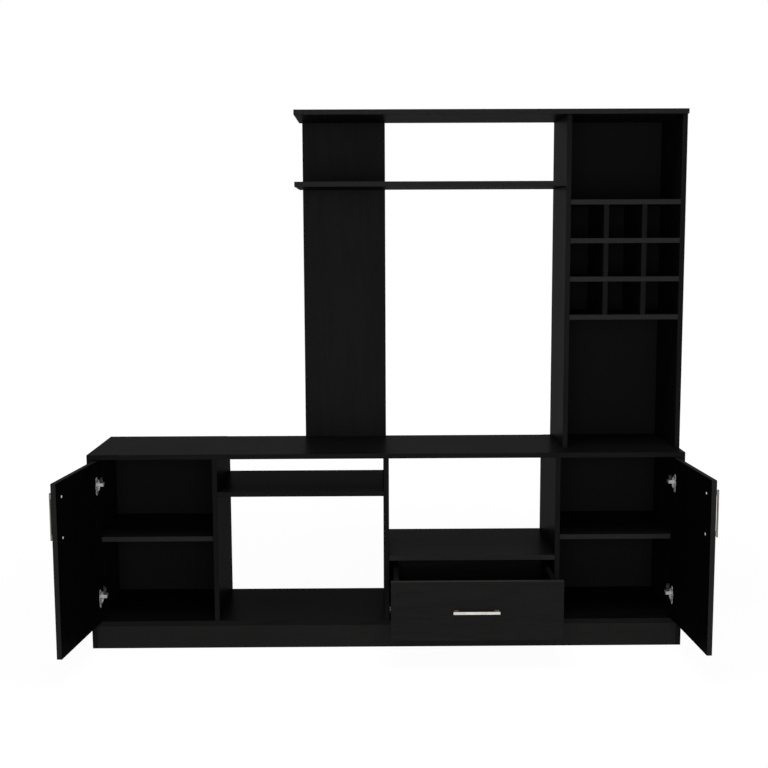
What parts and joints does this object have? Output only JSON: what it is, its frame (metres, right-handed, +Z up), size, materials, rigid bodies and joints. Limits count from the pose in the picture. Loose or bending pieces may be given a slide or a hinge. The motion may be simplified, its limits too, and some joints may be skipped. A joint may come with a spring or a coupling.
{
  "type": "media wall unit",
  "caption": "Black wood-grain media wall unit with open doors, a pulled-out drawer, a hutch with a long shelf and a tower that holds a bottle rack",
  "frame": {"origin": "on the floor, midway along the base and midway between the base's front and the backs", "axes": "+X to the right as seen from the front, +Y to the rear, +Z up"},
  "size_m": [1.8527, 0.6804, 1.62],
  "materials": {
    "black_melamine": "satin",
    "handle_nickel": "satin",
    "hardware_steel": "bright",
    "runner_enamel": "satin",
    "roller_plastic": "matte",
    "beech_dowel": "matte"
  },
  "bodies": {
    "cabinet": {"base_top": "black_melamine", "base_bottom": "black_melamine", "base_left_side": "black_melamine", "base_right_side": "black_melamine", "left_partition": "black_melamine", "centre_partition": "black_melamine", "right_partition": "black_melamine", "media_shelf": "black_melamine", "drawer_bay_shelf": "black_melamine", "left_cupboard_shelf": "black_melamine", "right_cupboard_shelf": "black_melamine", "plinth_front": "black_melamine", "plinth_rear": "black_melamine", "plinth_cross_rails": "black_melamine", "left_cupboard_back": "black_melamine", "right_cupboard_back": "black_melamine", "drawer_bay_back": "black_melamine", "hutch_panel": "black_melamine", "hutch_top": "black_melamine", "hutch_shelf": "black_melamine", "tower_left_side": "black_melamine", "tower_right_side": "black_melamine", "tower_back": "black_melamine", "rack_top_board": "black_melamine", "rack_upper_board": "black_melamine", "rack_lower_board": "black_melamine", "rack_bottom_board": "black_melamine", "rack_left_divider": "black_melamine", "rack_right_divider": "black_melamine", "shelf_pins": "hardware_steel", "cam_locks": "hardware_steel", "cam_bolts": "hardware_steel", "hutch_screws": "hardware_steel", "hutch_dowels": "beech_dowel", "hinge_arms": "hardware_steel", "hinge_plates": "hardware_steel", "hinge_plate_screws": "hardware_steel", "bay_runners": "runner_enamel"},
    "bay_roller_pair": {"bay_rollers": "roller_plastic"},
    "drawer": {"drawer_front": "black_melamine", "drawer_left_side": "black_melamine", "drawer_right_side": "black_melamine", "drawer_back": "black_melamine", "drawer_bottom": "black_melamine", "drawer_handle": "handle_nickel", "drawer_handle_screws": "hardware_steel", "drawer_runners": "runner_enamel"},
    "drawer_roller_pair": {"drawer_rollers": "roller_plastic"},
    "left_door_leaf": {"left_door": "black_melamine", "left_door_handle": "handle_nickel", "left_handle_screws": "hardware_steel", "left_hinge_cups": "hardware_steel", "left_hinge_pins": "hardware_steel", "left_cup_screws": "hardware_steel"},
    "right_door_leaf": {"right_door": "black_melamine", "right_door_handle": "handle_nickel", "right_handle_screws": "hardware_steel", "right_hinge_cups": "hardware_steel", "right_hinge_pins": "hardware_steel", "right_cup_screws": "hardware_steel"}
  },
  "joints": [
    {"name": "left_door_swing", "type": "hinge", "parent": "cabinet", "child": "left_door_leaf", "pos_m": [-0.874, -0.1635, 0.335], "axis": [0, 0, -1], "range_deg": [-96.3, 3.7]},
    {"name": "right_door_swing", "type": "hinge", "parent": "cabinet", "child": "right_door_leaf", "pos_m": [0.874, -0.1635, 0.335], "axis": [0, 0, 1], "range_deg": [-93.3, 6.7]},
    {"name": "drawer_slide", "type": "slide", "parent": "cabinet", "child": "drawer", "axis": [0, -1, 0], "range_m": [-0.205, 0.02]},
    {"name": "bay_roller_turn", "type": "hinge", "parent": "cabinet", "child": "bay_roller_pair", "pos_m": [0.25875, -0.14, 0.1113], "axis": [1, 0, 0], "range_deg": [-1480, 150]},
    {"name": "drawer_roller_turn", "type": "hinge", "parent": "drawer", "child": "drawer_roller_pair", "pos_m": [0.25875, -0.072, 0.1113], "axis": [1, 0, 0], "range_deg": [-1480, 150]}
  ],
  "couplings": [
    {"joint": "bay_roller_turn", "follows": "drawer_slide", "rad_per_m": 125},
    {"joint": "drawer_roller_turn", "follows": "drawer_slide", "rad_per_m": 125}
  ]
}
